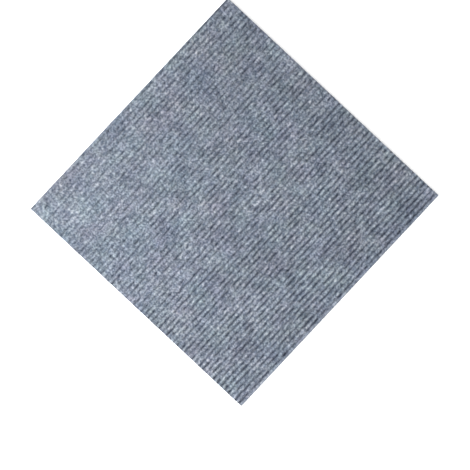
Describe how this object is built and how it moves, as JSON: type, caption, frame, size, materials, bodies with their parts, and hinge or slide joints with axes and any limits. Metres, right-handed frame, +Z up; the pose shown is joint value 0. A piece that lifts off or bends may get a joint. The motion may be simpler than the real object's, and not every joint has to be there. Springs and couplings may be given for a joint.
{
  "type": "ribbed carpet tile",
  "caption": "Square ribbed needle-punch carpet tile: a heathered felt face bonded to a flat flexible backing, laid edge to edge as floor covering.",
  "frame": {"origin": "centre of the tile's underside, which is the face that lies on the floor", "axes": "+Z up out of the felt face; the ribs run along X and repeat along Y; the four cut edges are parallel to X and Y"},
  "size_m": [0.3048, 0.3048, 0.005],
  "materials": {
    "ribbed_felt": "matte",
    "backing_sheet": "matte"
  },
  "bodies": {
    "root": {"ribbed_face": "ribbed_felt", "backing": "backing_sheet"}
  },
  "joints": []
}
